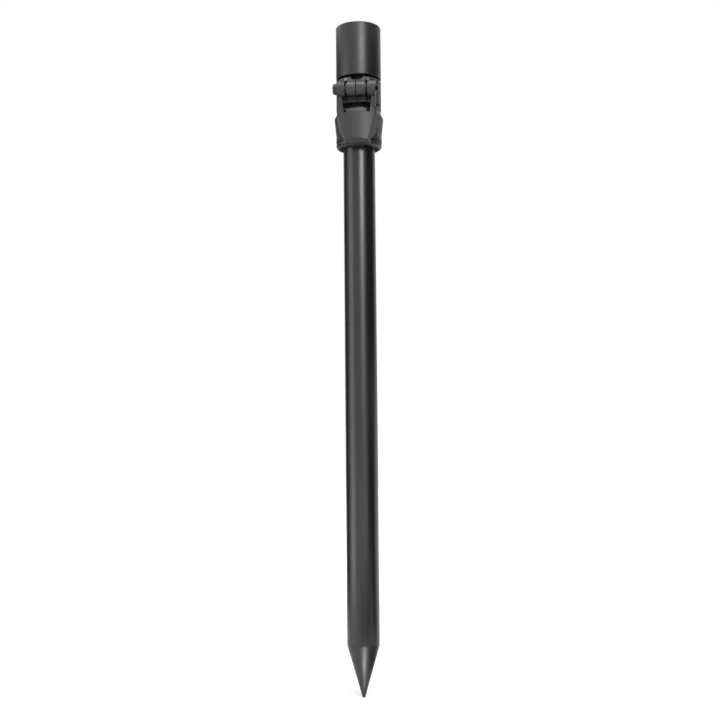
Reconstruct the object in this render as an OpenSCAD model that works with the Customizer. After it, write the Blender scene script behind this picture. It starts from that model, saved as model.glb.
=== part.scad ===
// Telescopic ground spike: a pointed outer tube, a flip-lever split clamp, and a sliding inner tube
// whose head takes a threaded fitting. Millimetres, +Z up along the tubes, origin at the tip of the cone.
// The lever lies on the -Y side and its bolt runs along X.

/* [Overall] */
// Height from the tip to the top of the head with the inner tube pushed home
closed_h = 398; // [340:1:480]
// Length of the cone that enters the ground
cone_l = 30; // [22:1:40]
// Radius of the blunt end of the cone
tip_r = 0.8; // [0.5:0.1:2]
// Length of the point's spigot inside the outer tube
spigot_l = 18; // [12:1:30]

/* [Tubes] */
// Outside diameter of the outer tube
outer_d = 19; // [16:0.5:24]
// Wall of the outer tube
outer_wall = 1.2; // [0.8:0.1:1.6]
// Radial gap between the inner tube and the bore of the outer tube
tube_gap = 0.3; // [0.25:0.05:0.6]
// Wall of the inner tube
inner_wall = 1; // [0.8:0.1:1.5]
// Length of the guide bush at the foot of the inner tube
bush_l = 30; // [20:1:50]

/* [Head] */
// Diameter of the head
head_d = 27.1; // [24:0.1:34]
// Height of the head
head_h = 32.4; // [30:0.1:45]
// Gap between the head and the collar when closed
head_gap = 1.2; // [0.8:0.1:2]
// Depth of the head's socket on the inner tube
head_socket_l = 15; // [10:1:16]
// Major diameter of the thread in the head
thread_d = 9.525; // [6:0.005:12]
// Length of the threaded bush
thread_l = 14; // [8:0.5:14]
// Wall of the threaded bush
thread_wall = 1.6; // [1:0.1:2.2]

/* [Clamp collar] */
// Length of outer tube held in the collar
socket_l = 23; // [19:0.5:30]
// Height of the split clamp above the outer tube
clamp_h = 18.4; // [17:0.1:26]
// Wall of the collar behind the lever
core_wall = 1.9; // [1.5:0.1:2.2]
// Wall of the split clamp
barrel_wall = 4; // [3.5:0.1:5]
// Wall of the bottom ring
ring_wall = 4.2; // [3.8:0.1:5]
// Wall of the side cheeks at their widest
cheek_wall = 5.2; // [4.5:0.1:6]
// Height of the bottom ring at the back
ring_h = 7.4; // [6:0.1:9]
// Height of the bottom ring at the front, under the lever
ring_front_h = 1.7; // [1.4:0.1:2.6]
// Radius of the ring's lower edge
ring_round = 2.2; // [1:0.1:3]
// Width of the slit between the clamp's jaws
slit_w = 0.3; // [0.2:0.05:1]
// Height of the relief slot under the jaws
relief_h = 1.9; // [1.4:0.1:2.4]

/* [Lever and bolt] */
// Height of the bolt above the top of the outer tube
bolt_rise = 10.1; // [9:0.1:12]
// Distance of the bolt in front of the outer tube's skin
bolt_reach = 5; // [4.6:0.1:6]
// Diameter of the bolt
bolt_d = 4; // [3:0.5:4.5]
// Diameter of the bolt's head
bolt_head_d = 6.5; // [6:0.1:8]
// Half width of the clamp's two ears together
ear_half = 5.4; // [4.5:0.1:6]
// Radius of the ears
ear_r = 4.7; // [4.2:0.1:5]
// Radius of the lever's lugs
lug_r = 4.9; // [4.4:0.1:5]
// Width of each lug of the lever
lug_w = 4.75; // [4.5:0.05:6]
// Space between an ear and a lug, for the cam washer and the lobes
cam_space = 1.35; // [1.2:0.05:2]
// Half width of the lever's tongue
tongue_half = 8; // [6:0.1:9]
// Wall of the lever's front
lever_wall = 2.2; // [1.8:0.1:2.6]

/* [Clearances] */
// Radial clearance of pieces that slide or turn in each other
running = 0.06; // [0.02:0.01:0.1]
// Radial clearance of pieces that are pressed or bonded
seat = 0.02; // [0.01:0.01:0.05]
// Space between the lever and the collar
part_gap = 0.35; // [0.3:0.05:0.6]

/* [Hidden] */
$fn = 96;
// How far a cutting shape runs past the face it opens
cut = 1;
// Depth by which the shapes of one piece overlap where they join
weld = 0.1;
// Axial space between pieces that meet end to end
end_gap = 0.1;
// Size of the large cutting blocks
reach = 60;

outer_r = outer_d / 2;
outer_bore_r = outer_r - outer_wall;
inner_r = outer_bore_r - tube_gap;
inner_bore_r = inner_r - inner_wall;
head_r = head_d / 2;
thread_r = thread_d / 2;
bolt_r = bolt_d / 2;

// Levels, from the top down
head_bottom = closed_h - head_h;
collar_top = head_bottom - head_gap;
tube_top = collar_top - clamp_h;
collar_bottom = tube_top - socket_l;
bolt_z = tube_top + bolt_rise;
bolt_y = -(outer_r + bolt_reach);

// Point: glue groove round the spigot
glue_start = 6;
glue_end = 10.5;
glue_depth = 0.4;
spigot_chamfer = 1;

// Collar radii and levels
collar_bore_r = outer_r + seat;
core_r = outer_r + core_wall;
barrel_r = outer_r + barrel_wall;
neck_step = 0.35;
ring_r = outer_r + ring_wall;
ring_top = collar_bottom + ring_h;
ring_bevel = 0.4;
cheek_r = outer_r + cheek_wall;
cheek_z = tube_top - 5;
cheek_round = 1.5;
cheek_arc = [-6, 45];
cheek_top = tube_top - 1.6;
lever_back = outer_r - 3.5;
cheek_front = lever_back - part_gap;
relief_z = tube_top + 1.3;
relief_end = outer_r - 6;
rim_h = 0.7;
jaw_wall = 1.6;
opening_half = outer_r - 1.3;
opening_z = tube_top + 0.2;
lip_h = 1;
lip_gap = 0.35;
edge_round = 0.8;
groove_z = collar_bottom + ring_round + 1;
groove_h = 1.3;
groove_depth = 1;
floor_drop = 0.6;
floor_slope = (ring_h - floor_drop - ring_front_h) / (ring_r - cheek_front);
ear_top = collar_top - 0.6;
ear_flat = 0.4;
ear_low = bolt_z - ear_r + ear_flat;
ear_shelf = 3.2;
ear_step = 1;
ear_front = [bolt_y - ear_step, bolt_z + ear_r - ear_flat];
ear_back = [-outer_r - ear_shelf, ear_top];
lug_room_z = bolt_z + lug_r + part_gap;
root_half = ear_half + 2.2;
root_facet = ear_half + 0.5;
facet_rise = 0.6;
notch_half = 4.2;
notch_floor = 2.4;
notch_depth = 2.6;

// Lever levels and outlines
lever_bottom = collar_bottom + 0.1;
lever_bow = 0.2;
crease_z = collar_bottom + 3.2;
crease_y = -(outer_r + 8.1);
plate_top = tube_top - 1.6;
plate_top_y = -(outer_r + 6.2);
plate_tilt = atan((plate_top_y - crease_y) / (plate_top - crease_z));
plate_curve_r = 26;
wing_top = tube_top - 0.4;
wing_half = outer_r + 2.6;
wing_slope_h = 2;
wing_slope_w = 1;
lip_y = -(outer_r + 6.4);
lug_in = ear_half + cam_space;
lug_out = lug_in + lug_w;
arm_w = 2.7;
arm_lean = 1.1;
arm_low = plate_top - 1.4;
arm_bend_z = tube_top + 1.2;
arm_taper = 0.8;
arm_front_y = bolt_y - 1.3;
arm_sink = 2.1;
arm_back_y = bolt_y + 2.9;
arm_shoulder = 3;
floor_gap = 0.8;
lip_half = ear_half + 0.8;
lip_notch = 2.4;
lip_fall = 1.8;
lip_tilt = 24;
pocket_half = tongue_half - 1.2;
pocket_roof = 2.2;
pocket_floor = 1;
rib_half = 0.7;
flank_top = [wing_half, -(outer_r + 3.3), tube_top - 1.7];
flank_low = [tongue_half - 0.6, -(outer_r + 7.1), collar_bottom + 5];
flank_back = [outer_r + 2.8, -lever_back, collar_bottom + 12];

// Bolt, washers and cam lobes
bolt_hole_r = bolt_r + running;
bolt_head_l = 2.5;
bolt_proud = 1.8;
bolt_dome = 1.3;
bolt_chamfer = 0.4;
hex_r = 1.45;
hex_depth = 1.3;
washer_t = 0.6;
washer_r = ear_r - 1.1;
lobe_h = 0.3;
lobe_angle = 70;
lobe_in = bolt_r + 0.6;
lobe_out = washer_r - 0.3;
insert_r = bolt_r + 0.8;
insert_l = 3.4;
insert_recess = 0.2;
insert_x = lug_out - insert_recess - insert_l;

// Fixing screw at the back of the collar
screw_z = collar_bottom + 12;
screw_r = 1.4;
screw_tip = [0.3, 0.6];
screw_gap = 0.05;
screw_head_r = 2.6;
screw_head_l = 1.6;
screw_head_gap = 0.3;
screw_dome = 0.7;
screw_seat_y = core_r + 1.1;
cross_l = 2.6;
cross_w = 0.7;
cross_depth = 0.9;

// Foot of the inner tube
plug_rest = 1.5;
flange_l = 2.4;
plug_flange_r = inner_r - 0.1;
plug_chamfer = 0.8;
neck_r = inner_bore_r - seat;
vent_r = 2;
plug_spigot_l = 16;
plug_bottom = cone_l + spigot_l + plug_rest;
bush_bottom = plug_bottom + flange_l + end_gap;
bush_top = bush_bottom + bush_l;
neck_top = bush_top + end_gap;
inner_bottom = neck_top + flange_l;
inner_top = head_bottom + head_socket_l - end_gap;
bush_split_w = 1.2;

// Head
head_foot_round = 0.5;
bush_sink = 0.2;
bush_seat_gap = 0.1;
lead_in = 0.5;

// Points of a round corner, from angle a to angle b about the point c
function arc(c, r, a, b, n = 6) = [
    for (i = [0 : n]) let (at = a + (b - a) * i / n) c + r * [cos(at), sin(at)]
];

// Extrudes an outline of (y, z) points from x0 to x1
module along_x(x0, x1) {
    translate([x0, 0, 0]) rotate([90, 0, 90]) linear_extrude(x1 - x0) children();
}

// Extrudes an outline of (x, z) points from y0 to y1
module along_y(y0, y1) {
    translate([0, y1, 0]) rotate([90, 0, 0]) linear_extrude(y1 - y0) children();
}

// A large block that fills the side of a plane that its normal points to
module half_space(p, n) {
    translate(p) rotate(acos(n.z / norm(n)), cross([0, 0, 1], n))
        translate([-reach, -reach, 0]) cube([2 * reach, 2 * reach, reach]);
}

// A straight cylinder along Z between two levels
module rod(r, z0, z1) {
    translate([0, 0, z0]) cylinder(r = r, h = z1 - z0);
}

// A straight cylinder along X through the bolt's axis
module bolt_rod(r, x0, x1) {
    translate([x0, bolt_y, bolt_z]) rotate([0, 90, 0]) cylinder(r = r, h = x1 - x0);
}

// What lies under the sloping floor of the lever's recess, raised by a gap
module under_floor(gap) {
    half_space([0, -ring_r, collar_bottom + ring_front_h + gap], [0, floor_slope, -1]);
}

module outer_tube() {
    color("#2b2c2e") difference() {
        rod(outer_r, cone_l, tube_top);
        rod(outer_bore_r, cone_l - cut, tube_top + cut);
        screw_hole();
    }
}

module screw_hole() {
    translate([0, 0, screw_z]) rotate([-90, 0, 0]) cylinder(r = screw_r + screw_gap, h = reach);
}

// A solid point with a glue groove round its spigot
module spike_point() {
    spigot_r = outer_bore_r - seat;
    groove_r = spigot_r - glue_depth;
    spigot_top = cone_l + spigot_l;
    color("#2b2c2e") rotate_extrude() polygon(concat(
        [[0, 0]],
        arc([0, tip_r], tip_r, -90, -15, 5),
        [
            [outer_r, cone_l], [spigot_r, cone_l],
            [spigot_r, cone_l + glue_start], [groove_r, cone_l + glue_start + glue_depth],
            [groove_r, cone_l + glue_end - glue_depth], [spigot_r, cone_l + glue_end],
            [spigot_r, spigot_top - spigot_chamfer], [spigot_r - spigot_chamfer, spigot_top],
            [0, spigot_top]
        ]
    ));
}

// Half section of the collar without its bore: bottom ring, groove, cheeks, neck and clamp barrel
module collar_section() {
    neck = barrel_r - neck_step;
    polygon(concat(
        [[0, collar_bottom]],
        arc([ring_r - ring_round, collar_bottom + ring_round], ring_round, -90, 0),
        [
            [ring_r, groove_z - groove_h / 2], [ring_r - groove_depth, groove_z - groove_h / 2],
            [ring_r - groove_depth, groove_z + groove_h / 2], [ring_r, groove_z + groove_h / 2],
            [ring_r, ring_top - ring_bevel], [ring_r - ring_bevel, ring_top],
            [ring_r, ring_top + 2 * ring_bevel]
        ],
        arc([cheek_r - cheek_round, cheek_z], cheek_round, cheek_arc[0], cheek_arc[1]),
        [[neck, cheek_top], [neck, relief_z - rim_h - neck_step], [barrel_r, relief_z - rim_h]],
        arc([barrel_r - edge_round, collar_top - edge_round], edge_round, 0, 90),
        [[0, collar_top]]
    ));
}

// The two ears that the bolt draws together, as one block before the slit is cut
module ear_block() {
    run = (lug_room_z - ear_front[1]) / (ear_back[1] - ear_front[1]);
    root_front = ear_front + run * (ear_back - ear_front);
    along_x(-ear_half, ear_half) union() {
        translate([bolt_y, bolt_z]) circle(r = ear_r);
        polygon([
            [-outer_r, ear_low], [bolt_y + ear_step, ear_low],
            ear_front, ear_back, [-outer_r, ear_top]
        ]);
    }
    // Wider root above the lever's lugs, faceted on both sides
    difference() {
        along_x(-root_half, root_half)
            polygon([[-outer_r, lug_room_z], root_front, ear_back, [-outer_r, ear_top]]);
        for (side = [-1, 1])
            half_space([side * root_facet, ear_back[0], ear_top], [side, -1, facet_rise]);
    }
}

// Space cut out of the collar's front for the lever's plate and wings
module lever_recess() {
    difference() {
        translate([-reach, -reach - cheek_front, collar_bottom - cut])
            cube([2 * reach, reach, relief_z + weld - collar_bottom + cut]);
        rod(core_r, collar_bottom - 2 * cut, collar_top);
        under_floor(0);
    }
}

module clamp_collar() {
    lug_room_y = bolt_y + lug_r + part_gap;
    color("#3a3b3d") difference() {
        union() {
            difference() {
                rotate_extrude() collar_section();
                // Hollow under the ears, behind the lever's window
                translate([-ear_half - weld, -reach - outer_r - jaw_wall, relief_z])
                    cube([2 * (ear_half + weld), reach, bolt_rise]);
            }
            ear_block();
        }
        rod(collar_bore_r, collar_bottom - cut, collar_top - lip_h);
        rod(inner_r + lip_gap, collar_bottom - cut, collar_top + cut);
        lever_recess();
        // Room beside the ears for the lever's lugs
        for (side = [-1, 1])
            translate([side > 0 ? ear_half : -ear_half - reach, lug_room_y - reach, relief_z])
                cube([reach, reach, lug_room_z - relief_z]);
        // Relief slot under the jaws, deeper in the lever's window, and the slit between them
        translate([-reach, -reach - relief_end, relief_z]) cube([2 * reach, reach, relief_h]);
        translate([-opening_half, -reach - relief_end, opening_z])
            cube([2 * opening_half, reach, relief_z - opening_z + weld]);
        translate([-slit_w / 2, -reach - inner_r + cut, relief_z]) cube([slit_w, reach, clamp_h + cut]);
        // Notch at the top of the slit
        along_y(-reach, -inner_r) polygon([
            [-notch_half, collar_top + weld], [notch_half, collar_top + weld],
            [notch_floor, collar_top - notch_depth], [-notch_floor, collar_top - notch_depth]
        ]);
        bolt_rod(bolt_hole_r, -reach, reach);
        screw_hole();
        translate([0, screw_seat_y, screw_z]) rotate([-90, 0, 0])
            cylinder(r = screw_head_r + screw_head_gap, h = reach);
    }
}

// Pan-head screw that locks the collar to the outer tube
module collar_screw() {
    shank_l = screw_seat_y - outer_bore_r - end_gap;
    head_top = shank_l + screw_head_l;
    color("#1e1f20") translate([0, outer_bore_r + end_gap, screw_z]) rotate([-90, 0, 0]) difference() {
        rotate_extrude() polygon(concat(
            [[0, 0], [screw_r - screw_tip[0], 0], [screw_r, screw_tip[1]]],
            [[screw_r, shank_l], [screw_head_r, shank_l]],
            arc([screw_head_r - screw_dome, head_top - screw_dome], screw_dome, 0, 90),
            [[0, head_top]]
        ));
        for (turn = [0, 90]) rotate(turn)
            translate([-cross_l / 2, -cross_w / 2, head_top - cross_depth])
                cube([cross_l, cross_w, cross_depth + cut]);
    }
}

// Split nylon liner between the jaws and the inner tube
module clamp_liner() {
    color("#3a3b3d") difference() {
        rod(outer_r, tube_top + end_gap, collar_top - lip_h - end_gap);
        rod(inner_r + running, tube_top - cut, collar_top + cut);
        translate([-slit_w, -reach, tube_top - cut]) cube([2 * slit_w, reach, clamp_h + 2 * cut]);
    }
}

// One lobed ring in the plane of a cam face: two ramps opposite each other
module cam_lobes(h) {
    for (turn = [0, 180]) rotate(turn - lobe_angle / 2)
        rotate_extrude(angle = lobe_angle) translate([lobe_in, 0]) square([lobe_out - lobe_in, h]);
}

// Steel washers on the ears; their lobes meet the lever's lobes when the lever is down
module cam_washers() {
    color("#1e1f20") for (side = [-1, 1])
        translate([side * ear_half, bolt_y, bolt_z]) rotate([0, side * 90, 0]) union() {
            difference() {
                cylinder(r = washer_r, h = washer_t);
                translate([0, 0, -cut]) cylinder(r = bolt_hole_r, h = washer_t + 2 * cut);
            }
            translate([0, 0, washer_t - weld]) cam_lobes(lobe_h + weld);
        }
}

// A large cylinder as round as the lever's plate, whose front runs through a point and leans back
module leaning(y, z, tilt) {
    translate([0, y, z]) rotate([-tilt, 0, 0])
        translate([0, plate_curve_r, -reach]) cylinder(r = plate_curve_r, h = 2 * reach);
}

// Front of the lever: a leaning, gently curved plate with wings, down to the tongue
module lever_plate() {
    difference() {
        intersection() {
            along_x(-reach, reach) polygon([
                [lip_y, lever_bottom], [crease_y - lever_bow, crease_z], [crease_y - lever_bow, wing_top],
                [-lever_back, wing_top], [-lever_back, lever_bottom]
            ]);
            leaning(crease_y, crease_z, plate_tilt);
            along_y(-reach, 0) polygon([
                [-wing_half, lever_bottom - cut], [wing_half, lever_bottom - cut],
                [wing_half, wing_top - wing_slope_h], [wing_half - wing_slope_w, wing_top + cut],
                [wing_slope_w - wing_half, wing_top + cut], [-wing_half, wing_top - wing_slope_h]
            ]);
        }
        for (side = [-1, 1]) {
            across = cross(flank_low - flank_top, flank_back - flank_top);
            half_space([side * flank_top.x, flank_top.y, flank_top.z], [side * across.x, across.y, across.z]);
            // The wings stop above the sloping floor, beside the tongue
            intersection() {
                translate([side > 0 ? tongue_half : -tongue_half - reach, -reach, collar_bottom - cut])
                    cube([reach, reach, socket_l]);
                under_floor(floor_gap);
            }
        }
        // Room for the collar's core and ring
        rod(core_r + part_gap, collar_bottom - cut, collar_top);
        intersection() {
            rod(ring_r + part_gap, collar_bottom - cut, tube_top);
            under_floor(floor_gap);
        }
        // Sloping lip along the top, as round as the plate
        difference() {
            translate([-lip_half - weld, -reach - outer_r, plate_top - lip_fall - cut])
                cube([2 * (lip_half + weld), reach, lip_fall + 2 * cut]);
            leaning(plate_top_y - lip_fall * tan(plate_tilt), plate_top - lip_fall, lip_tilt);
        }
        // Hollow back, with a rib down the middle
        for (side = [-1, 1]) along_x(side > 0 ? rib_half : -pocket_half, side > 0 ? pocket_half : -rib_half)
            polygon([
                [crease_y + lever_wall, crease_z + pocket_floor],
                [plate_top_y + lever_wall, plate_top - pocket_roof],
                [-outer_r, plate_top - pocket_roof], [-outer_r, crease_z + pocket_floor]
            ]);
    }
}

// One arm of the lever, between its lug and the plate
module lever_arm(side) {
    intersection() {
        along_x(-reach, reach) polygon([
            [plate_top_y + arm_sink, arm_low], [arm_front_y, bolt_z - arm_shoulder], [arm_front_y, bolt_z],
            [arm_back_y, bolt_z], [-core_r - arm_taper, arm_low]
        ]);
        along_y(-reach, 0) polygon([
            [side * (lug_out - arm_w), bolt_z], [side * lug_out, bolt_z], [side * lug_out, arm_bend_z],
            [side * (lug_out - arm_taper), arm_low], [side * (lug_out - arm_w - arm_lean), arm_low]
        ]);
    }
}

// The flip lever: lugs with cam lobes, two arms round an open window, and the plate
module cam_lever() {
    window_top = lug_out - arm_w;
    window_low = window_top - arm_lean;
    color("#404143") difference() {
        union() {
            lever_plate();
            for (side = [-1, 1]) {
                lever_arm(side);
                bolt_rod(lug_r, side > 0 ? lug_in : -lug_out, side > 0 ? lug_out : -lug_in);
                translate([side * lug_in, bolt_y, bolt_z]) rotate([0, -side * 90, 0])
                    translate([0, 0, -weld]) cam_lobes(lobe_h + weld);
            }
        }
        // Window under the ears, deeper at its lower corners
        along_y(-reach, 0) polygon([
            [-window_top, bolt_z - ear_r], [window_top, bolt_z - ear_r], [window_low, plate_top - lip_notch],
            [lip_half, plate_top - lip_notch], [lip_half, plate_top], [-lip_half, plate_top],
            [-lip_half, plate_top - lip_notch], [-window_low, plate_top - lip_notch]
        ]);
        bolt_rod(bolt_hole_r, -reach, insert_x + cut);
        bolt_rod(insert_r + seat, insert_x, lug_out + cut);
    }
}

// Bolt with a domed socket head on the left, threaded through the insert on the right
module clamp_bolt() {
    length = 2 * lug_out + bolt_proud;
    color("#1e1f20") translate([-lug_out, bolt_y, bolt_z]) rotate([0, 90, 0]) difference() {
        rotate_extrude() polygon(concat(
            [[0, -bolt_head_l]],
            arc([bolt_head_d / 2 - bolt_dome, bolt_dome - bolt_head_l], bolt_dome, -90, 0),
            [[bolt_head_d / 2, 0], [bolt_r, 0], [bolt_r, length - bolt_chamfer],
             [bolt_r - bolt_chamfer, length], [0, length]]
        ));
        translate([0, 0, -bolt_head_l - cut]) cylinder(r = hex_r, h = hex_depth + cut, $fn = 6);
    }
}

// Steel insert in the right lug that takes the bolt's thread
module bolt_insert() {
    color("#1e1f20") difference() {
        bolt_rod(insert_r, insert_x + seat, insert_x + insert_l);
        bolt_rod(bolt_r + seat, insert_x - cut, insert_x + insert_l + cut);
    }
}

// Split bush that runs in the outer tube and turns on the plug's neck
module guide_bush() {
    color("#d8d6cf") difference() {
        rod(outer_bore_r - running, bush_bottom, bush_top);
        rod(neck_r + running, bush_bottom - cut, bush_top + cut);
        translate([-bush_split_w / 2, 0, bush_bottom - cut]) cube([bush_split_w, reach, bush_l + 2 * cut]);
    }
}

// Nylon plug in the foot of the inner tube, with a neck for the bush and an air vent
module inner_plug() {
    flange_top = plug_bottom + flange_l;
    plug_top = inner_bottom + plug_spigot_l;
    color("#3a3b3d") rotate_extrude() polygon([
        [vent_r, plug_bottom], [plug_flange_r - plug_chamfer, plug_bottom],
        [plug_flange_r, plug_bottom + plug_chamfer], [plug_flange_r, flange_top], [neck_r, flange_top],
        [neck_r, neck_top], [plug_flange_r, neck_top], [plug_flange_r, inner_bottom], [neck_r, inner_bottom],
        [neck_r, plug_top - plug_chamfer], [neck_r - plug_chamfer, plug_top], [vent_r, plug_top]
    ]);
}

module inner_tube() {
    color("#36373a") difference() {
        rod(inner_r, inner_bottom, inner_top);
        rod(inner_bore_r, inner_bottom - cut, inner_top + cut);
    }
}

// Turned head with a socket for the inner tube below and a pocket for the threaded bush above
module head_barrel() {
    color("#2b2c2e") difference() {
        rotate_extrude() polygon(concat(
            [[0, head_bottom]],
            arc([head_r - head_foot_round, head_bottom + head_foot_round], head_foot_round, -90, 0, 4),
            arc([head_r - edge_round, closed_h - edge_round], edge_round, 0, 90, 5),
            [[0, closed_h]]
        ));
        rod(inner_r + seat, head_bottom - cut, head_bottom + head_socket_l);
        rod(thread_r + thread_wall + seat, closed_h - bush_sink - thread_l - bush_seat_gap, closed_h + cut);
    }
}

// Threaded bush in the top of the head; the bore is at the thread's major diameter
module thread_bush() {
    top = closed_h - bush_sink;
    color("#a8874a") difference() {
        rod(thread_r + thread_wall, top - thread_l, top);
        rod(thread_r, top - thread_l - cut, top + cut);
        translate([0, 0, top - lead_in])
            cylinder(r1 = thread_r, r2 = thread_r + 2 * lead_in, h = 2 * lead_in);
    }
}

outer_tube();
spike_point();
clamp_collar();
collar_screw();
clamp_liner();
cam_washers();
cam_lever();
clamp_bolt();
bolt_insert();
guide_bush();
inner_plug();
inner_tube();
head_barrel();
thread_bush();
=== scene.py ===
"""Looks of a telescopic ground spike: finishes, turned, moulded and threaded pieces, studio and camera.

Lengths are in metres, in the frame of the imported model: the tip at the origin, +Z up along the tubes, the
clamp's lever on the -Y side and its bolt along X.
"""

import logging
import math
from dataclasses import dataclass
from enum import Enum

import bmesh
import bpy
import numpy as np
from mathutils import Matrix, Vector


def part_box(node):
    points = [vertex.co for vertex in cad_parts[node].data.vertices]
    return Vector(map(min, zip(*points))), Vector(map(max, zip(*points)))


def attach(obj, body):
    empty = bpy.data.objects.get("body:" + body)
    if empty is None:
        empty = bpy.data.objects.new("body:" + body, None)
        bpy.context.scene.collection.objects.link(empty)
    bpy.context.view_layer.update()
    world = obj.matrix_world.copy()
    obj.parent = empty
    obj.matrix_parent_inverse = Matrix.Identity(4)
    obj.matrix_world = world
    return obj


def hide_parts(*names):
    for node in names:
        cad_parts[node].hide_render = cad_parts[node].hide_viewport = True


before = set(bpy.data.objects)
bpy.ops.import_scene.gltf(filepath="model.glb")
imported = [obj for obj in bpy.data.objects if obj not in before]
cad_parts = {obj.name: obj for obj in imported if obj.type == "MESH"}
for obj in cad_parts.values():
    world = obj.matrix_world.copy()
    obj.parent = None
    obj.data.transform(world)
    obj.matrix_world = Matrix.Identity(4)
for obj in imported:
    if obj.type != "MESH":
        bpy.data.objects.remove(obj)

LOG = logging.getLogger("ground_spike")
MM = 0.001
# Number of straight steps in a rounded corner of an outline
ARC_STEPS = 6
# Edges that turn by more than this angle stay sharp
SHARP_ANGLE = math.radians(35.0)
# Most values of a cloudy pattern lie between these two
PATTERN_LOW = 0.3
PATTERN_HIGH = 0.7
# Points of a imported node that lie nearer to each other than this, in millimetres, are one point
MERGE_REACH = 0.002

Triple = tuple[float, float, float]
Colour = tuple[float, float, float]


class Axis(Enum):
    """Which way a turned piece's axis runs: the two directions across it, then the axis itself."""

    UP = ((1, 0, 0), (0, 1, 0), (0, 0, 1))
    ACROSS = ((0, 1, 0), (0, 0, 1), (1, 0, 0))
    FORWARD = ((1, 0, 0), (0, 0, 1), (0, -1, 0))


class Body(Enum):
    """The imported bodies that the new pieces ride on."""

    STAKE = "stake"
    LEVER = "lever"
    MAST = "mast"


class Slot(Enum):
    """The record's material slots that the new pieces take their finish from."""

    TUBE = "anodised_tube"
    HEAD = "anodised_head"
    MOULDED = "moulded_black"
    STEEL = "blackened_steel"
    BRASS = "brass"


class Graph:
    """A material's node tree, with short ways to add and join its nodes."""

    def __init__(self, name: str) -> None:
        """Starts a material with only a surface shader and its output.

        Args:
            name: The material's name.
        """
        self.material = bpy.data.materials.new(name)
        self.material.use_nodes = True
        self.tree = self.material.node_tree
        self.shader = self.tree.nodes["Principled BSDF"]

    def add(self, kind: str, **values: object) -> bpy.types.Node:
        """Adds a node.

        Args:
            kind: The node's type name.
            values: Settings of the node, or values of its input sockets, by name with _ for a space.

        Returns:
            The new node.
        """
        node = self.tree.nodes.new(kind)
        for key, value in values.items():
            if hasattr(node, key):
                setattr(node, key, value)
            else:
                node.inputs[key.replace("_", " ")].default_value = value
        return node

    def join(self, source: bpy.types.NodeSocket, target: bpy.types.NodeSocket) -> None:
        """Links an output socket to an input socket."""
        self.tree.links.new(source, target)

    def set(self, **values: object) -> None:
        """Sets constant sockets of the surface shader, by name with _ for a space."""
        for key, value in values.items():
            self.shader.inputs[key.replace("_", " ")].default_value = value

    def place(self, scale: Triple) -> bpy.types.NodeSocket:
        """The piece's own coordinates, stretched.

        Args:
            scale: Pattern repeats per metre along X, Y and Z.

        Returns:
            The stretched coordinates.
        """
        coordinates = self.add("ShaderNodeTexCoord")
        mapping = self.add("ShaderNodeMapping", Scale=scale)
        self.join(coordinates.outputs["Object"], mapping.inputs["Vector"])
        return mapping.outputs["Vector"]

    def noise(self, scale: Triple, detail: float, roughness: float = 0.5) -> bpy.types.NodeSocket:
        """A cloudy pattern from 0 to 1.

        Args:
            scale: Pattern repeats per metre along X, Y and Z.
            detail: Number of finer layers.
            roughness: Share of each finer layer.

        Returns:
            The pattern's value.
        """
        node = self.add("ShaderNodeTexNoise", Scale=1.0, Detail=detail, Roughness=roughness)
        self.join(self.place(scale), node.inputs["Vector"])
        return node.outputs["Fac"]

    def spread(self, value: bpy.types.NodeSocket, low: float, high: float) -> bpy.types.NodeSocket:
        """Maps the middle of a cloudy pattern to a range of values.

        Args:
            value: The pattern.
            low: Result where the pattern is low.
            high: Result where the pattern is high.

        Returns:
            The mapped value.
        """
        node = self.add("ShaderNodeMapRange", From_Min=PATTERN_LOW, From_Max=PATTERN_HIGH,
                        To_Min=low, To_Max=high)
        self.join(value, node.inputs["Value"])
        return node.outputs["Result"]

    def blend(self, value: bpy.types.NodeSocket, first: Colour, second: Colour) -> bpy.types.NodeSocket:
        """Mixes two colours by a pattern.

        Args:
            value: The pattern, from 0 to 1.
            first: Colour at 0.
            second: Colour at 1.

        Returns:
            The mixed colour.
        """
        node = self.add("ShaderNodeMix", data_type="RGBA")
        colours = [socket for socket in node.inputs if socket.type == "RGBA"]
        colours[0].default_value = (*first, 1)
        colours[1].default_value = (*second, 1)
        self.join(value, node.inputs["Factor"])
        return next(socket for socket in node.outputs if socket.type == "RGBA")

    def coat(self, tone: bpy.types.NodeSocket, colours: tuple[Colour, Colour], relief: bpy.types.NodeSocket,
             satin: tuple[float, float], depth: float) -> bpy.types.Material:
        """Joins a finish's tone, gloss and bump to the surface shader.

        Args:
            tone: The pattern that mixes the colours.
            colours: Colour where that pattern is 0, and where it is 1.
            relief: The pattern that sets the gloss and raises the surface.
            satin: Roughness where that pattern is low, and where it is high.
            depth: Height of that pattern in metres.

        Returns:
            The finished material.
        """
        self.join(self.blend(tone, *colours), self.shader.inputs["Base Color"])
        self.join(self.spread(relief, *satin), self.shader.inputs["Roughness"])
        bump = self.add("ShaderNodeBump", Distance=depth, Strength=1.0)
        self.join(relief, bump.inputs["Height"])
        self.join(bump.outputs["Normal"], self.shader.inputs["Normal"])
        return self.material


@dataclass(frozen=True)
class AnodisedFinish:
    """Satin black anodised aluminium, with fine lines left along or round it beforehand."""

    name: str
    dark: Colour = (0.005, 0.005, 0.0052)
    light: Colour = (0.009, 0.009, 0.0092)
    satin: tuple[float, float] = (0.27, 0.33)
    lines: Triple = (1800.0, 1800.0, 25.0)
    line_depth: float = 0.006 * MM
    cloud: float = 60.0

    def build(self) -> bpy.types.Material:
        """Makes the material: lines set the bump and gloss, and a wide cloud the tone.

        Returns:
            The new material.
        """
        graph = Graph(self.name)
        graph.set(Metallic=0.0, IOR=1.5)
        lines = graph.noise(self.lines, detail=3.0)
        cloud = graph.noise((self.cloud,) * 3, detail=4.0)
        return graph.coat(cloud, (self.dark, self.light), lines, self.satin, self.line_depth)


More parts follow.
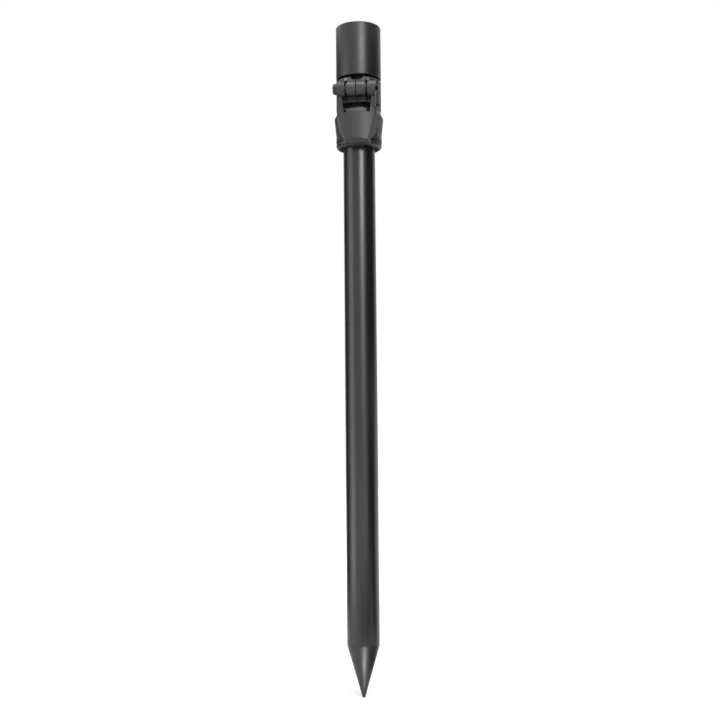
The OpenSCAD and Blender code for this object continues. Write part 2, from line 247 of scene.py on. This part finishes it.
@dataclass(frozen=True)
class MouldedFinish:
    """Glass-filled nylon from a sparked mould: a fine even grain and faint flow clouds."""

    name: str
    dark: Colour = (0.010, 0.010, 0.0102)
    light: Colour = (0.018, 0.018, 0.0184)
    satin: tuple[float, float] = (0.38, 0.46)
    ior: float = 1.5
    grain: float = 3200.0
    grain_depth: float = 0.02 * MM
    flow: Triple = (140.0, 140.0, 56.0)

    def build(self) -> bpy.types.Material:
        """Makes the material: grain sets the bump and gloss, and slow flow clouds the tone.

        Returns:
            The new material.
        """
        graph = Graph(self.name)
        graph.set(Metallic=0.0, IOR=self.ior)
        grain = graph.noise((self.grain,) * 3, detail=2.0, roughness=0.6)
        flow = graph.noise(self.flow, detail=4.0)
        return graph.coat(flow, (self.dark, self.light), grain, self.satin, self.grain_depth)


@dataclass(frozen=True)
class OxideFinish:
    """Black oxide on steel: dark metal with small brown-grey spots."""

    name: str
    dark: Colour = (0.020, 0.020, 0.021)
    light: Colour = (0.050, 0.047, 0.044)
    satin: tuple[float, float] = (0.30, 0.48)
    spots: float = 900.0
    spot_depth: float = 0.01 * MM

    def build(self) -> bpy.types.Material:
        """Makes the material: one spotted pattern sets tone, gloss and a slight bump.

        Returns:
            The new material.
        """
        graph = Graph(self.name)
        graph.set(Metallic=0.85)
        spots = graph.noise((self.spots,) * 3, detail=5.0, roughness=0.65)
        return graph.coat(spots, (self.dark, self.light), spots, self.satin, self.spot_depth)


@dataclass(frozen=True)
class BrassFinish:
    """Turned brass: tool rings round the axis and a faint tarnish."""

    name: str
    clean: Colour = (0.62, 0.44, 0.17)
    tarnished: Colour = (0.42, 0.29, 0.12)
    satin: tuple[float, float] = (0.20, 0.38)
    rings: Triple = (60.0, 60.0, 5000.0)
    ring_depth: float = 0.008 * MM
    tarnish: float = 350.0

    def build(self) -> bpy.types.Material:
        """Makes the material: rings along Z set the bump and gloss, and clouds of tarnish the tone.

        Returns:
            The new material.
        """
        graph = Graph(self.name)
        graph.set(Metallic=1.0)
        rings = graph.noise(self.rings, detail=2.0)
        tarnish = graph.noise((self.tarnish,) * 3, detail=5.0, roughness=0.6)
        return graph.coat(tarnish, (self.clean, self.tarnished), rings, self.satin, self.ring_depth)


@dataclass(frozen=True)
class NylonFinish:
    """Undyed nylon: waxy off-white with faint clouds and a fine grain."""

    name: str
    pale: Colour = (0.66, 0.64, 0.57)
    deep: Colour = (0.55, 0.52, 0.45)
    satin: tuple[float, float] = (0.42, 0.55)
    clouds: float = 220.0
    grain: float = 2500.0
    grain_depth: float = 0.012 * MM

    def build(self) -> bpy.types.Material:
        """Makes the material: clouds set the tone, and grain the bump and gloss.

        Returns:
            The new material.
        """
        graph = Graph(self.name)
        graph.set(Metallic=0.0, Subsurface_Weight=0.15, Subsurface_Scale=0.6 * MM)
        clouds = graph.noise((self.clouds,) * 3, detail=4.0)
        grain = graph.noise((self.grain,) * 3, detail=2.0)
        return graph.coat(clouds, (self.pale, self.deep), grain, self.satin, self.grain_depth)


def rounded_outline(corners: list[Triple]) -> np.ndarray:
    """An outline of straight runs with its corners rounded.

    Each corner is replaced by the arc of its radius that touches both of its edges. The arc's centre lies on
    the corner's bisector, at radius / sin(half angle) from the corner. Its points are found by turning from
    one touching point to the other in equal steps.

    Args:
        corners: Points (radius from the axis, place along it, rounding), in order along the outline.

    Returns:
        The outline's points, one row each.
    """
    points = np.array([corner[:2] for corner in corners], float)
    runs = [points[:1]]
    for index in range(1, len(corners) - 1):
        corner, rounding = points[index], corners[index][2]
        if rounding <= 0:
            runs.append(points[index:index + 1])
            continue
        before = points[index - 1] - corner
        after = points[index + 1] - corner
        before /= np.linalg.norm(before)
        after /= np.linalg.norm(after)
        half = 0.5 * math.acos(float(np.clip(before @ after, -1.0, 1.0)))
        bisector = (before + after) / np.linalg.norm(before + after)
        centre = corner + bisector * rounding / math.sin(half)
        first = corner + before * rounding / math.tan(half) - centre
        last = corner + after * rounding / math.tan(half) - centre
        sweep = math.pi - 2 * half
        share = np.linspace(0.0, 1.0, ARC_STEPS + 1)[:, None]
        arc = (np.sin((1 - share) * sweep) * first + np.sin(share * sweep) * last) / math.sin(sweep)
        runs.append(centre + arc)
    runs.append(points[-1:])
    return np.vstack(runs)


def mesh_object(name: str, points: np.ndarray, faces: list[list[int]]) -> bpy.types.Object:
    """Makes a smooth-shaded object from points and faces.

    Args:
        name: The object's name.
        points: The mesh's points, one row each.
        faces: Corner numbers of each face.

    Returns:
        The new object, at the origin.
    """
    mesh = bpy.data.meshes.new(name)
    mesh.from_pydata(points.tolist(), [], faces)
    mesh.polygons.foreach_set("use_smooth", np.ones(len(mesh.polygons), bool))
    mesh.set_sharp_from_angle(angle=SHARP_ANGLE)
    mesh.update()
    piece = bpy.data.objects.new(name, mesh)
    bpy.context.scene.collection.objects.link(piece)
    return piece


@dataclass(frozen=True)
class Lathe:
    """Makes pieces of rings about one axis."""

    axis: Axis
    centre: Triple = (0.0, 0.0, 0.0)
    segments: int = 144
    tilt: float = 0.0

    @property
    def turn(self) -> np.ndarray:
        """The angle of each point round a ring, in radians."""
        return 2 * math.pi * np.arange(self.segments) / self.segments

    @property
    def basis(self) -> np.ndarray:
        """The axis's three directions, a row each, tilted about X."""
        return np.array(self.axis.value) @ np.array(Matrix.Rotation(self.tilt, 3, "X")).T

    def points(self, radius: np.ndarray, along: np.ndarray) -> np.ndarray:
        """Places rings of points.

        A point lies at the centre, plus radius times the angle's cosine along the first direction, radius
        times its sine along the second, and its place along the axis.

        Args:
            radius: Radius of each point, a row for each ring.
            along: Place of each point along the axis, a row for each ring.

        Returns:
            Points, one array of rows for each ring.
        """
        local = np.stack([radius * np.cos(self.turn), radius * np.sin(self.turn), along], axis=-1)
        return np.array(self.centre) + local @ self.basis

    def rings(self, outline: np.ndarray) -> tuple[np.ndarray, np.ndarray]:
        """Repeats an outline's radius and place all round the axis.

        Args:
            outline: Points (radius, place along the axis), one row each.

        Returns:
            Radius and place of each point, a row for each ring.
        """
        shape = (len(outline), self.segments)
        radius = np.broadcast_to(outline[:, :1], shape).copy()
        along = np.broadcast_to(outline[:, 1:2], shape).copy()
        return radius, along

    def bands(self, rows: int, closed: bool) -> np.ndarray:
        """Four-sided faces between each ring and the next, counted so that they face outwards.

        Args:
            rows: Number of rings.
            closed: True if the last ring joins the first.

        Returns:
            Corner numbers of each face.
        """
        row = np.arange(rows if closed else rows - 1)[:, None]
        column = np.arange(self.segments)[None, :]
        here = row * self.segments
        there = ((row + 1) % rows) * self.segments
        beside = (column + 1) % self.segments
        return np.stack([here + column, here + beside, there + beside, there + column], -1).reshape(-1, 4)

    def hollow(self, name: str, radius: np.ndarray, along: np.ndarray) -> bpy.types.Object:
        """A ring-shaped piece, whose outline closes on itself.

        Args:
            name: The piece's name.
            radius: Radius of each point, a row for each ring.
            along: Place of each point along the axis, a row for each ring.

        Returns:
            The new piece.
        """
        points = self.points(radius, along).reshape(-1, 3)
        return mesh_object(name, points, self.bands(len(radius), True).tolist())

    def solid(self, name: str, radius: np.ndarray, along: np.ndarray) -> bpy.types.Object:
        """A solid piece, whose first and last rings shrink to single points on the axis.

        Args:
            name: The piece's name.
            radius: Radius of each point, a row for each ring, with 0 in the first and last rows.
            along: Place of each point along the axis, a row for each ring.

        Returns:
            The new piece.
        """
        points = self.points(radius, along)
        inner = points[1:-1].reshape(-1, 3)
        every = np.vstack([inner, points[0, :1], points[-1, :1]])
        bands = self.bands(len(radius) - 2, False).tolist()
        column = np.arange(self.segments)
        beside = (column + 1) % self.segments
        start = np.full(self.segments, len(inner))
        top = (len(radius) - 3) * self.segments
        fans = np.vstack([
            np.stack([start, beside, column], -1),
            np.stack([start + 1, top + column, top + beside], -1),
        ])
        return mesh_object(name, every, bands + fans.tolist())

    def sleeve(self, name: str, node: str, wall: float, edge: float) -> bpy.types.Object:
        """A tube as wide and long as a node: a ring-shaped section with softly broken edges.

        Args:
            name: The piece's name.
            node: The node that gives the outside and the length.
            wall: Thickness of the wall.
            edge: Rounding of the edges.

        Returns:
            The new piece.
        """
        low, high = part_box(node)
        outer = high.x
        bore = outer - wall
        middle = bore + 0.5 * wall
        outline = rounded_outline([
            (middle, low.z, 0.0), (outer, low.z, edge), (outer, high.z, edge),
            (bore, high.z, edge), (bore, low.z, edge), (middle, low.z, 0.0),
        ])[:-1]
        return self.hollow(name, *self.rings(outline))


@dataclass(frozen=True)
class Thread:
    """A rounded screw thread."""

    pitch: float
    depth: float
    steps: int = 14

    def ridge(self, along: np.ndarray, turn: np.ndarray, start: float, end: float) -> np.ndarray:
        """Height of the thread's ridge, from 0 in the groove to its depth on the crest.

        The height is a raised cosine of the place along the axis less the turn's share of the pitch, so a
        crest climbs one pitch in each turn. Over the first and last half pitch it fades to nothing.

        Args:
            along: Place of each point along the axis.
            turn: Angle of each point in radians.
            start: Where the thread begins along the axis.
            end: Where it ends.

        Returns:
            Height of each point over the groove.
        """
        wave = 0.5 + 0.5 * np.cos(2 * math.pi * along / self.pitch - turn)
        fade = np.clip(np.minimum(along - start, end - along) / (0.5 * self.pitch), 0.0, 1.0)
        return self.depth * wave * fade * fade * (3 - 2 * fade)

    def places(self, start: float, end: float) -> np.ndarray:
        """Evenly spaced places along the axis, close enough to show each ridge."""
        return np.linspace(start, end, max(2, math.ceil(self.steps * abs(end - start) / self.pitch)))


@dataclass(frozen=True)
class Mould:
    """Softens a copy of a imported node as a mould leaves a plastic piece, with no sharp edge.

    The voxel is the size of the filling cubes, passes the number of smoothing passes, keep the share of faces
    that is left after thinning, and pull how far each pass draws a point towards its neighbours.
    """

    voxel: float
    passes: int
    keep: float
    pull: float = 0.5

    def copy(self, name: str, node: str) -> bpy.types.Object:
        """Merges, refills, smooths and thins a copy of a node.

        The copy is worked on in millimetres. Its loose faces are merged, its volume is filled with cubes of
        the voxel's size and skinned again, and each smoothing pass draws every point towards the mean of its
        neighbours, which rounds the edges and leaves the flats. Faces are then thinned where it is flat.

        Args:
            name: The new piece's name.
            node: The node to copy.

        Returns:
            The new piece, with no modifiers left.
        """
        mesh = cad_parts[node].data.copy()
        shape = bmesh.new()
        shape.from_mesh(mesh)
        bmesh.ops.scale(shape, vec=(1 / MM,) * 3, verts=shape.verts)
        bmesh.ops.remove_doubles(shape, verts=shape.verts, dist=MERGE_REACH)
        shape.to_mesh(mesh)
        shape.free()
        rough = bpy.data.objects.new(name + "_rough", mesh)
        bpy.context.scene.collection.objects.link(rough)
        fill = rough.modifiers.new("fill", "REMESH")
        fill.mode = "VOXEL"
        fill.voxel_size = self.voxel / MM
        soften = rough.modifiers.new("soften", "SMOOTH")
        soften.factor = self.pull
        soften.iterations = self.passes
        thin = rough.modifiers.new("thin", "DECIMATE")
        thin.ratio = self.keep
        graph = bpy.context.evaluated_depsgraph_get()
        finished = bpy.data.meshes.new_from_object(rough.evaluated_get(graph))
        bpy.data.objects.remove(rough)
        bpy.data.meshes.remove(mesh)
        finished.name = name
        finished.transform(Matrix.Scale(MM, 4))
        finished.materials.clear()
        finished.polygons.foreach_set("use_smooth", np.ones(len(finished.polygons), bool))
        piece = bpy.data.objects.new(name, finished)
        bpy.context.scene.collection.objects.link(piece)
        return piece


def flat_corners(width: float, height: float) -> np.ndarray:
    """The four corners of a flat rectangle about the origin, facing up.

    Args:
        width: Length along X.
        height: Length along Y.

    Returns:
        The corners, one row each.
    """
    across = np.array([-0.5, 0.5, 0.5, -0.5]) * width
    along = np.array([-0.5, -0.5, 0.5, 0.5]) * height
    return np.stack([across, along, np.zeros(4)], axis=-1)


def dress(piece: bpy.types.Object, material: bpy.types.Material) -> None:
    """Gives a piece one material."""
    piece.data.materials.clear()
    piece.data.materials.append(material)


def stand_for(piece: bpy.types.Object, node: str, body: Body,
              material: bpy.types.Material) -> None:
    """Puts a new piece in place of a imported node.

    Args:
        piece: The new piece.
        node: The node that it stands for.
        body: The body that it rides on.
        material: Its material.
    """
    dress(piece, material)
    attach(piece, body.value)
    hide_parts(node)
    LOG.info("%s stands for %s, %d faces", piece.name, node, len(piece.data.polygons))


def paint_node(node: str, material: bpy.types.Material) -> None:
    """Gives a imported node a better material.

    Args:
        node: The node's name.
        material: Its new material.
    """
    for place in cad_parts[node].material_slots:
        place.material = material
    LOG.info("%s keeps its packed shape", node)


@dataclass
class Stake:
    """The outer tube and its point.

    The seat is the room round a bonded piece, and the seam the step from the tube's skin to the cone's base.
    """

    edge: float = 0.25 * MM
    wall: float = 1.2 * MM
    seat: float = 0.02 * MM
    seam: float = 0.03 * MM
    tip_radius: float = 0.72 * MM
    tip_round: float = 0.56 * MM
    shoulder_round: float = 0.1 * MM
    spigot_round: float = 1.0 * MM
    lathe: Lathe = Lathe(Axis.UP)

    def build_point(self) -> bpy.types.Object:
        """The point: a rounded tip, a cone with a softly broken base, and a spigot.

        Returns:
            The new piece.
        """
        low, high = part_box("spike_point")
        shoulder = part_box("outer_tube")[0].z
        outer = high.x - self.seam
        spigot = high.x - self.wall - self.seat
        outline = rounded_outline([
            (0.0, low.z, 0.0), (self.tip_radius, low.z, self.tip_round),
            (outer, shoulder, self.shoulder_round), (spigot, shoulder, 0.0),
            (spigot, high.z, self.spigot_round), (0.0, high.z, 0.0),
        ])
        return self.lathe.solid("point_turned", *self.lathe.rings(outline))

    def dress(self, tube: bpy.types.Material, point: bpy.types.Material) -> None:
        """Builds both pieces and puts them in place.

        Args:
            tube: Material of the tube.
            point: Material of the point.
        """
        outer = self.lathe.sleeve("tube_drawn", "outer_tube", self.wall, self.edge)
        stand_for(outer, "outer_tube", Body.STAKE, tube)
        stand_for(self.build_point(), "spike_point", Body.STAKE, point)


@dataclass
class Mast:
    """The sliding inner tube with its head and threaded bush.

    The rim and the foot are the roundings of the head's top and bottom edges, the socket is its depth on the
    tube, and the lead-in is the bevel at the mouth of the bush's bore.
    """

    edge: float = 0.25 * MM
    wall: float = 1.0 * MM
    rim: float = 0.8 * MM
    foot: float = 0.5 * MM
    seat: float = 0.02 * MM
    socket: float = 15.0 * MM
    pocket_gap: float = 0.1 * MM
    lead_in: float = 0.6 * MM
    mouth_round: float = 0.05 * MM
    bore: float = 4.7625 * MM
    thread: Thread = Thread(pitch=1.27 * MM, depth=0.81 * MM)
    lathe: Lathe = Lathe(Axis.UP)

    def build_head(self) -> bpy.types.Object:
        """The head: a barrel with a rounded rim, a pocket for the bush above and a socket for the tube below.

        Returns:
            The new piece.
        """
        low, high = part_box("head_barrel")
        bush_low, bush_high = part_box("thread_bush")
        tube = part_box("inner_tube")[1].x + self.seat
        ceiling = low.z + self.socket
        pocket = bush_high.x + self.seat
        floor = bush_low.z - self.pocket_gap
        outline = rounded_outline([
            (0.0, ceiling, 0.0), (tube, ceiling, 0.0), (tube, low.z, self.edge),
            (high.x, low.z, self.foot), (high.x, high.z, self.rim), (pocket, high.z, self.edge),
            (pocket, floor, 0.0), (0.0, floor, 0.0),
        ])
        return self.lathe.solid("head_turned", *self.lathe.rings(outline))

    def build_bush(self) -> bpy.types.Object:
        """The threaded bush: a sleeve whose bore carries a screw thread that fades out at both ends.

        Returns:
            The new piece.
        """
        low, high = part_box("thread_bush")
        outer = high.x
        mouth = high.z - self.lead_in
        places = self.thread.places(low.z, mouth)[::-1]
        shell = rounded_outline([
            (self.bore, low.z, 0.0), (outer, low.z, self.edge), (outer, high.z, self.edge),
            (self.bore + self.lead_in, high.z, self.mouth_round), (self.bore, mouth, 0.0),
        ])[1:-1]
        radius, along = self.lathe.rings(np.vstack([
            shell, np.stack([np.full(len(places), self.bore), places], axis=-1),
        ]))
        ridge = self.thread.ridge(along[len(shell):], self.lathe.turn, low.z, mouth)
        radius[len(shell):] -= ridge
        return self.lathe.hollow("bush_threaded", radius, along)

    def dress(self, tube: bpy.types.Material, head: bpy.types.Material, bush: bpy.types.Material) -> None:
        """Builds the pieces and puts them in place.

        Args:
            tube: Material of the inner tube.
            head: Material of the head.
            bush: Material of the threaded bush.
        """
        inner = self.lathe.sleeve("tube_sliding", "inner_tube", self.wall, self.edge)
        stand_for(inner, "inner_tube", Body.MAST, tube)
        stand_for(self.build_head(), "head_barrel", Body.MAST, head)
        stand_for(self.build_bush(), "thread_bush", Body.MAST, bush)


@dataclass
class Clamp:
    """The split collar, its flip lever and the bolt that joins them.

    The key is half the width of the bolt's six-sided socket across its flats. The socket flares at its mouth
    and ends in a drilled cone. The mark is a low dome on the lever's tongue, tilted by degrees about X.
    """

    collar: Mould = Mould(voxel=0.14 * MM, passes=6, keep=0.16)
    lever: Mould = Mould(voxel=0.12 * MM, passes=7, keep=0.3)
    head_length: float = 2.5 * MM
    shank: float = 2.0 * MM
    dome: float = 1.3 * MM
    key: float = 1.25 * MM
    key_depth: float = 1.3 * MM
    key_drill: float = 0.375 * MM
    key_bevel: float = 0.125 * MM
    key_flare: float = 1.1
    threaded: float = 6.4 * MM
    end_chamfer: float = 0.5 * MM
    thread: Thread = Thread(pitch=0.7 * MM, depth=0.38 * MM)
    mark_radius: float = 0.8 * MM
    mark_height: float = 0.18 * MM
    mark_round: float = 0.162 * MM
    mark_place: Triple = (0.0, -16.88 * MM, 324.7 * MM)
    mark_tilt: float = 31.5

    def build_bolt(self) -> bpy.types.Object:
        """The bolt: a domed head with a six-sided key socket, a shank and a screw thread at its end.

        The socket's rings are hexagons: their radius at each angle is the half width across the flats over
        the cosine of the angle from the middle of the nearest flat.

        Returns:
            The new piece.
        """
        low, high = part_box("clamp_bolt")
        centre = (0.0, 0.5 * (low.y + high.y), 0.5 * (low.z + high.z))
        lathe = Lathe(Axis.ACROSS, centre, segments=96)
        rim = 0.5 * (high.z - low.z)
        seat = low.x + self.head_length
        start = high.x - self.threaded
        sixth = math.pi / 3
        flat = self.key / np.cos((lathe.turn % sixth) - 0.5 * sixth)
        socket = [
            [0.0, low.x + self.key_depth + self.key_drill], [1.0, low.x + self.key_depth],
            [1.0, low.x + self.key_bevel], [self.key_flare, low.x],
        ]
        head = rounded_outline([(rim, seat, 0.0), (rim, low.x, self.dome), (0.0, low.x, 0.0)])[::-1][1:]
        places = self.thread.places(start, high.x)
        shank = np.stack([np.full(len(places), self.shank), places], axis=-1)
        outline = np.vstack([socket, head, [[self.shank, seat]], shank, [[0.0, high.x]]])
        radius, along = lathe.rings(outline)
        radius[1:len(socket)] *= flat
        threaded = slice(len(outline) - len(places) - 1, len(outline) - 1)
        depth = self.thread.depth - self.thread.ridge(along[threaded], lathe.turn, start, high.x)
        run_in = np.clip((along[threaded] - start) / self.thread.pitch, 0.0, 1.0)
        bevel = np.clip(along[threaded] - (high.x - self.end_chamfer), 0.0, None)
        radius[threaded] = np.minimum(radius[threaded] - depth * run_in, self.shank - bevel)
        return lathe.solid("bolt_key_head", radius, along)

    def build_mark(self) -> bpy.types.Object:
        """The moulding mark in the middle of the lever's tongue: a low dome, square to the sloping face.

        Returns:
            The new piece.
        """
        lathe = Lathe(Axis.FORWARD, self.mark_place, segments=48, tilt=math.radians(self.mark_tilt))
        outline = rounded_outline([
            (0.0, -self.mark_height, 0.0), (self.mark_radius, -self.mark_height, 0.0),
            (self.mark_radius, self.mark_height, self.mark_round), (0.0, self.mark_height, 0.0),
        ])
        return lathe.solid("lever_mould_mark", *lathe.rings(outline))

    def dress(self, moulded: bpy.types.Material, flip: bpy.types.Material, steel: bpy.types.Material) -> None:
        """Builds the pieces and puts them in place.

        Args:
            moulded: Material of the collar.
            flip: Material of the lever.
            steel: Material of the bolt.
        """
        collar = self.collar.copy("collar_moulded", "clamp_collar")
        stand_for(collar, "clamp_collar", Body.STAKE, moulded)
        lever = self.lever.copy("lever_moulded", "cam_lever")
        stand_for(lever, "cam_lever", Body.LEVER, flip)
        stand_for(self.build_bolt(), "clamp_bolt", Body.LEVER, steel)
        mark = self.build_mark()
        dress(mark, flip)
        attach(mark, Body.LEVER.value)
        LOG.info("%s added to the lever, %d faces", mark.name, len(mark.data.polygons))


@dataclass(frozen=True)
class Softbox:
    """A flat studio lamp, turned about its own axis by the twist in degrees."""

    name: str
    place: Triple
    aim: Triple
    width: float
    height: float
    power: float
    twist: float = 0.0

    def build(self) -> None:
        """Adds the lamp, unseen by the camera."""
        lamp = bpy.data.lights.new(self.name, "AREA")
        lamp.shape = "RECTANGLE"
        lamp.size = self.width
        lamp.size_y = self.height
        lamp.energy = self.power
        holder = bpy.data.objects.new(self.name, lamp)
        facing = (Vector(self.aim) - Vector(self.place)).to_track_quat("-Z", "Y").to_matrix().to_4x4()
        twist = Matrix.Rotation(math.radians(self.twist), 4, "Z")
        holder.matrix_world = Matrix.Translation(self.place) @ facing @ twist
        holder.visible_camera = False
        bpy.context.scene.collection.objects.link(holder)


@dataclass(frozen=True)
class Flag:
    """A dark card that shows only in reflections."""

    name: str
    place: Triple
    aim: Triple
    width: float
    height: float

    def build(self) -> None:
        """Adds the card, facing its aim, with its place in the mesh."""
        card = mesh_object(self.name, flat_corners(self.width, self.height), [[0, 1, 2, 3]])
        facing = (Vector(self.aim) - Vector(self.place)).to_track_quat("Z", "Y").to_matrix().to_4x4()
        card.data.transform(Matrix.Translation(self.place) @ facing)
        graph = Graph(self.name)
        graph.set(Base_Color=(0.0, 0.0, 0.0, 1.0), Roughness=1.0, Specular_IOR_Level=0.0)
        dress(card, graph.material)
        card.visible_camera = False
        card.visible_diffuse = False
        card.visible_shadow = False
        card.visible_transmission = False


def shown_rays(tree: bpy.types.NodeTree) -> bpy.types.NodeSocket:
    """1 for rays from the camera, reflections and clear materials, and 0 for rays that light other things.

    Args:
        tree: The node tree to add to.

    Returns:
        The value.
    """
    path = tree.nodes.new("ShaderNodeLightPath")
    shown = path.outputs["Is Camera Ray"]
    for ray in ("Is Glossy Ray", "Is Transmission Ray"):
        larger = tree.nodes.new("ShaderNodeMath")
        larger.operation = "MAXIMUM"
        tree.links.new(shown, larger.inputs[0])
        tree.links.new(path.outputs[ray], larger.inputs[1])
        shown = larger.outputs["Value"]
    return shown


@dataclass(frozen=True)
class PaleFloor:
    """A white floor that keeps the object's shadow.

    Its glow goes from the first strength to the second between the two distances of its reach.
    """

    span: float = 12.0
    colour: float = 0.8
    glow: tuple[float, float] = (0.35, 1.0)
    reach: tuple[float, float] = (0.25, 0.9)

    def build(self) -> None:
        """Adds the floor: a matt white, and a glow that only the camera and reflections see.

        The glow is weak round the object, so that its shadow shows, and full farther out.
        """
        floor = mesh_object("floor", flat_corners(self.span, self.span), [[0, 1, 2, 3]])
        graph = Graph("pale_floor")
        graph.set(Base_Color=(self.colour,) * 3 + (1.0,), Roughness=1.0, Specular_IOR_Level=0.0)
        coordinates = graph.add("ShaderNodeTexCoord")
        distance = graph.add("ShaderNodeVectorMath", operation="LENGTH")
        graph.join(coordinates.outputs["Object"], distance.inputs[0])
        fade = graph.add("ShaderNodeMapRange", From_Min=self.reach[0], From_Max=self.reach[1],
                         To_Min=self.glow[0], To_Max=self.glow[1])
        graph.join(distance.outputs["Value"], fade.inputs["Value"])
        strength = graph.add("ShaderNodeMath", operation="MULTIPLY")
        graph.join(shown_rays(graph.tree), strength.inputs[0])
        graph.join(fade.outputs["Result"], strength.inputs[1])
        graph.set(Emission_Color=(1.0, 1.0, 1.0, 1.0))
        graph.join(strength.outputs["Value"], graph.shader.inputs["Emission Strength"])
        dress(floor, graph.material)


@dataclass(frozen=True)
class WhiteSurround:
    """The studio's white walls: white to the camera and reflections, and plain light for the rest."""

    ambient: float = 0.25

    def build(self) -> None:
        """Adds the world."""
        world = bpy.data.worlds.new("white_surround")
        bpy.context.scene.world = world
        world.use_nodes = True
        tree = world.node_tree
        background = tree.nodes["Background"]
        background.inputs["Color"].default_value = (1.0, 1.0, 1.0, 1.0)
        level = tree.nodes.new("ShaderNodeMapRange")
        level.inputs["To Min"].default_value = self.ambient
        level.inputs["To Max"].default_value = 1.0
        tree.links.new(shown_rays(tree), level.inputs["Value"])
        tree.links.new(level.outputs["Result"], background.inputs["Strength"])


@dataclass(frozen=True)
class Viewpoint:
    """The camera: low, turned a little to the object's right, and tilted up."""

    distance: float = 694.5 * MM
    height: float = 135.2 * MM
    azimuth: float = 5.5
    pitch: float = 5.0
    yaw: float = 0.05
    roll: float = -0.5
    lens: float = 58.79
    sensor: float = 36.0

    def build(self) -> None:
        """Adds the camera and makes it the scene's."""
        camera = bpy.data.cameras.new("camera")
        camera.lens = self.lens
        camera.sensor_width = self.sensor
        holder = bpy.data.objects.new("camera", camera)
        turn = math.radians(self.azimuth)
        holder.location = (self.distance * math.sin(turn), -self.distance * math.cos(turn), self.height)
        aim = Matrix.Rotation(turn + math.radians(self.yaw), 4, "Z")
        tilt = Matrix.Rotation(math.radians(90.0 + self.pitch), 4, "X")
        lean = Matrix.Rotation(math.radians(self.roll), 4, "Z")
        holder.rotation_euler = (aim @ tilt @ lean).to_euler()
        bpy.context.scene.collection.objects.link(holder)
        bpy.context.scene.camera = holder


@dataclass
class Studio:
    """Floor, surround, lamps, flags and camera."""

    surround: WhiteSurround = WhiteSurround()
    floor: PaleFloor = PaleFloor()
    viewpoint: Viewpoint = Viewpoint()
    # Each lamp's name, place, aim, width, height, power in watts, and twist in degrees
    lamps: tuple[Softbox, ...] = (
        Softbox("left_box", (-0.308, -0.168, 0.245), (0.0, 0.0, 0.245), 0.18, 0.49, 0.55),
        Softbox("left_low", (-0.30, -0.164, 0.035), (0.0, 0.0, 0.035), 0.18, 0.07, 0.050),
        Softbox("front_strip", (0.58, -1.42, 0.96), (0.0, 0.0, 0.30), 0.55, 0.40, 13.6),
        Softbox("front_low", (0.58, -1.42, 0.44), (0.0, 0.0, 0.30), 0.50, 0.40, 1.6),
        Softbox("top_box", (0.0, -0.55, 1.5), (0.0, 0.0, 0.35), 0.8, 0.8, 14.0),
        Softbox("left_high", (-0.61, 0.33, 0.93), (0.0, 0.0, 0.36), 0.35, 0.35, 1.4),
        Softbox("right_high", (0.58, 0.19, 1.02), (0.0, 0.0, 0.36), 0.35, 0.35, 1.4),
        Softbox("foot_far", (0.0095, -0.0430, 0.0005), (0.0095, -0.0430, 1.0), 0.0145, 0.044, 0.0290, -12.5),
        Softbox("foot_near", (0.0027, -0.0122, 0.0005), (0.0027, -0.0122, 1.0), 0.0046, 0.009, 0.0009, -12.5),
    )
    # Each flag's name, place, aim, width and height
    flags: tuple[Flag, ...] = (
        Flag("right_flag", (0.35, -0.04, 0.43), (0.0, 0.0, 0.43), 0.60, 0.45),
        Flag("right_low_flag", (0.35, -0.12, 0.09), (0.0, -0.12, 0.09), 0.42, 0.18),
        Flag("left_flag", (-0.26, 0.127, 0.26), (0.0, 0.0, 0.26), 0.22, 0.52),
        Flag("back_flag", (-0.04, 0.287, 0.26), (0.0, 0.0, 0.26), 0.18, 0.52),
        Flag("floor_flag", (0.10, -0.16, 0.001), (0.10, -0.16, 1.0), 0.26, 0.14),
        Flag("side_flag", (0.24, 0.02, 0.001), (0.24, 0.02, 1.0), 0.18, 0.16),
        Flag("foot_flag", (0.052, 0.0, 0.001), (0.052, 0.0, 1.0), 0.052, 0.08),
    )

    def build(self) -> None:
        """Sets up the whole studio."""
        for item in (self.surround, self.floor, *self.lamps, *self.flags, self.viewpoint):
            item.build()
        bpy.context.scene.view_settings.view_transform = "Standard"


def main() -> None:
    """Builds the object, its finishes and the studio."""
    logging.basicConfig(level=logging.INFO, format="%(message)s")
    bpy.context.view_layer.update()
    Studio().build()
    drawn = AnodisedFinish("anodised_drawn").build()
    turned = AnodisedFinish("anodised_turned", satin=(0.36, 0.42), lines=(60.0, 60.0, 2600.0),
                            line_depth=0.004 * MM).build()
    moulded = MouldedFinish("moulded_collar").build()
    flip = MouldedFinish("moulded_lever", dark=(0.018, 0.018, 0.0184), light=(0.028, 0.028, 0.0285),
                         ior=1.4).build()
    # Partly painted shade: the liner is black plastic, but its near-black colour, high roughness and low IOR
    # make it darker and duller than the other plastics, so the slot behind the lever shows black
    slot_shade_liner = MouldedFinish("liner_painted_shade", dark=(0.003, 0.003, 0.003), light=(0.006, 0.006, 0.006),
                          satin=(0.80, 0.90), ior=1.2).build()
    oxide = OxideFinish("black_oxide").build()
    brass = BrassFinish("turned_brass").build()
    nylon = NylonFinish("undyed_nylon").build()
    Stake().dress(drawn, turned)
    Mast().dress(drawn, turned, brass)
    Clamp().dress(moulded, flip, oxide)
    painted = {
        "cam_washers": oxide, "collar_screw": oxide, "bolt_insert": oxide,
        "clamp_liner": slot_shade_liner, "inner_plug": moulded, "guide_bush": nylon,
    }
    for node, material in painted.items():
        paint_node(node, material)


if __name__ == "__main__":
    main()
